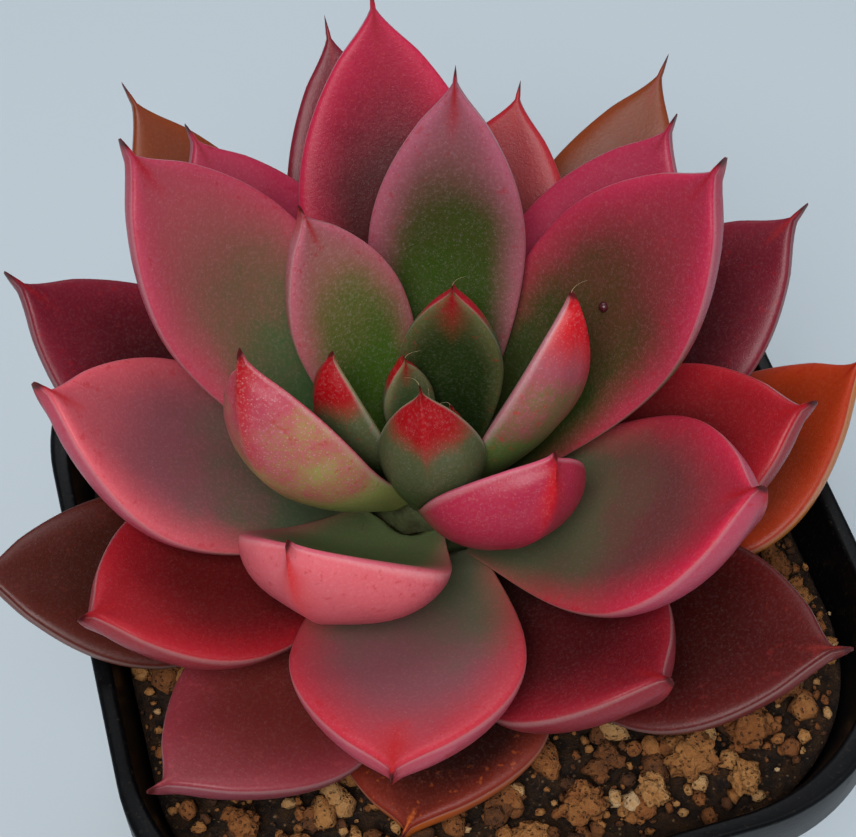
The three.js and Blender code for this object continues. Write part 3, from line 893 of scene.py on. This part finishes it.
def crumb_material():
    """Porous fired-clay and bark crumbs; each one's own shade is an attribute."""
    material, tree, shader = start_material("porous_crumb", Specular_IOR_Level=0.3)
    shade = read(tree, "shade")
    ramp = add_node(tree, "ShaderNodeValToRGB")
    stops = (
        (0.0, "20130d"),
        (0.25, "472c1a"),
        (0.5, "855028"),
        (0.7, "a3713f"),
        (0.88, "b48a5a"),
        (1.0, "c4a57c"),
    )
    for position, code in stops[1:-1]:
        ramp.color_ramp.elements.new(position)
    for element, (position, code) in zip(ramp.color_ramp.elements, stops):
        element.position = position
        element.color = linear(code)
    coarse = grain(tree, 700, 5, 0.7)
    pores = fade(tree, cells(tree, 1500), 0.12, 0.34, 1.0, 0.0)
    shift = calculate(tree, "MULTIPLY", calculate(tree, "SUBTRACT", coarse, 0.5), 0.5)
    shifted = calculate(tree, "ADD", shade, shift)
    tree.links.new(shifted, ramp.inputs[0])
    colour = mix(tree, calculate(tree, "MULTIPLY", pores, 0.3), ramp.outputs[0], linear("3a1f10"))
    tree.links.new(colour, shader.inputs["Base Color"])
    feed(tree, shader.inputs["Roughness"], fade(tree, coarse, 0.3, 0.7, 0.78, 0.96))
    height = calculate(tree, "SUBTRACT", coarse, calculate(tree, "MULTIPLY", pores, 0.5))
    roughen(tree, shader, height, 0.0009)
    return material


def add_crumb(bm, shade_layer, spot, size, shade, seed, subdivisions, lumps):
    """One lumpy crumb, its middle at spot, in millimetres."""
    made = bmesh.ops.create_icosphere(bm, subdivisions=subdivisions, radius=size / 2)["verts"]
    turn = Matrix.Rotation(seed * 1.7, 4, Vector((math.sin(seed), math.cos(seed * 1.3), 0.4)).normalized())
    stretch = Matrix.Diagonal((1 + 0.25 * math.sin(seed * 3.1), 1 + 0.25 * math.cos(seed * 2.3), 0.82, 1))
    for vert in made:
        way = vert.co.normalized()
        bump = noise.noise(way * 1.9 + Vector((seed, 0, 0))) * 0.7
        bump += noise.noise(way * 5 + Vector((0, seed, 0))) * 0.4
        if subdivisions > 2:
            bump += noise.noise(way * 12 + Vector((0, 0, seed))) * 0.2
        vert.co *= 1 + lumps * bump
        vert[shade_layer] = shade
    bmesh.ops.transform(bm, matrix=Matrix.Translation(spot) @ stretch @ turn, verts=made)


def inside_pot(x, y, margin):
    """Whether a place lies over the medium, at least margin from the wall."""
    half = wall_at(SOIL_TOP) - POT_WALL - margin
    corner = corner_at(SOIL_TOP)
    dx = max(0, abs(x) - (half - corner))
    dy = max(0, abs(y) - (half - corner))
    return max(abs(x), abs(y)) < half and math.hypot(dx, dy) < corner


CRUMB_SHADES = (0.6, 0.5, 0.7, 0.45, 0.75, 0.35, 0.55, 0.62, 0.42, 0.66)
CRUMB_COUNT = 19
LUMP_DEPTH = 0.7
porous = crumb_material()
for number in range(CRUMB_COUNT):
    name = f"crumb_{number + 1:02d}"
    low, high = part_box(name)
    bm = bmesh.new()
    shade_layer = bm.verts.layers.float.new("shade")
    size = (high.x - low.x) / MM
    spot = (low + high) / 2 / MM
    add_crumb(bm, shade_layer, spot, size, CRUMB_SHADES[number % 10], number * 1.37 + 0.5, 4, LUMP_DEPTH)
    bmesh.ops.scale(bm, vec=(MM, MM, MM), verts=bm.verts)
    add_piece("fine_" + name, bm, porous, "crumb", name)


def scatter(name, count, smallest, largest, subdivisions, lift, first_seed):
    """Loose grains over the medium, as one piece."""
    chance = random.Random(first_seed)
    bm = bmesh.new()
    shade_layer = bm.verts.layers.float.new("shade")
    placed = 0
    while placed < count:
        x = chance.uniform(-42, 42)
        y = chance.uniform(-42, 42)
        size = smallest + (largest - smallest) * chance.random() ** 2
        from_stem = (Vector((x, y)) - PLANT_FOOT).length
        if not inside_pot(x, y, size * 0.6 + 0.4) or from_stem < STEM_RADIUS + size:
            continue
        height = SOIL_TOP + lift + chance.uniform(0, 0.5) * size
        shade = min(1, max(0, chance.gauss(0.5, 0.2)))
        spot = Vector((x, y, height))
        seed = chance.uniform(0, 60)
        add_crumb(bm, shade_layer, spot, size, shade, seed, subdivisions, LUMP_DEPTH)
        placed += 1
    bmesh.ops.scale(bm, vec=(MM, MM, MM), verts=bm.verts)
    return add_piece(name, bm, porous, "crumb")


scatter("loose_crumbs", 420, 1.6, 3.6, 2, 0.5, 3)
scatter("small_crumbs", 900, 0.9, 2.2, 2, 0.5, 5)
scatter("fine_grit", 1500, 0.5, 1.3, 1, 0.15, 7)

# ------------------------------------------------------------------ floor, light and camera


def stage_floor():
    bm = bmesh.new()
    bmesh.ops.create_grid(bm, x_segments=1, y_segments=1, size=10.0)
    mesh = bpy.data.meshes.new("floor")
    bm.to_mesh(mesh)
    bm.free()
    material, tree, shader = start_material("floor", Roughness=0.9)
    shader.inputs["Base Color"].default_value = linear("bcc7cf")
    mesh.materials.append(material)
    floor = bpy.data.objects.new("floor", mesh)
    bpy.context.scene.collection.objects.link(floor)


def look_back(azimuth, elevation):
    """The unit vector from a target towards azimuth (0 is the front) and elevation."""
    a = math.radians(azimuth)
    e = math.radians(elevation)
    return Vector((math.sin(a) * math.cos(e), -math.cos(a) * math.cos(e), math.sin(e)))


def add_softbox(name, target, azimuth, elevation, distance, size, power, tint):
    """A square area light, aimed at the target."""
    data = bpy.data.lights.new(name, "AREA")
    data.shape = "SQUARE"
    data.size = size
    data.energy = power
    data.color = tint
    light = bpy.data.objects.new(name, data)
    back = look_back(azimuth, elevation)
    light.location = target + back * distance
    light.rotation_euler = (-back).to_track_quat("-Z", "Y").to_euler()
    bpy.context.scene.collection.objects.link(light)


def add_camera(target, azimuth, elevation, distance, lens):
    data = bpy.data.cameras.new("camera")
    data.lens = lens
    data.sensor_width = 36
    data.clip_start = 0.01
    data.clip_end = 20
    camera = bpy.data.objects.new("camera", data)
    back = look_back(azimuth, elevation)
    camera.location = target + back * distance
    camera.rotation_euler = (-back).to_track_quat("-Z", "Y").to_euler()
    bpy.context.scene.collection.objects.link(camera)
    bpy.context.scene.camera = camera


stage_floor()
aim = Vector((0, 0, 0.085))
add_softbox("key", aim, -32, 60, 0.9, 0.5, 7.2, (1.0, 0.98, 0.96))
add_softbox("fill", aim, 60, 40, 1.1, 0.8, 1.7, (0.94, 0.97, 1.0))
add_softbox("back", aim, 165, 50, 1.1, 0.8, 4.6, (0.96, 0.98, 1.0))
world = bpy.data.worlds.new("studio")
world.use_nodes = True
world.node_tree.nodes["Background"].inputs["Color"].default_value = linear("c6d2dc")
world.node_tree.nodes["Background"].inputs["Strength"].default_value = 0.24
bpy.context.scene.world = world
bpy.context.scene.view_settings.view_transform = "Standard"
add_camera(Vector((0.0009, 0.0156, 0.08)), -16, 56.5, 0.225, 76.54)
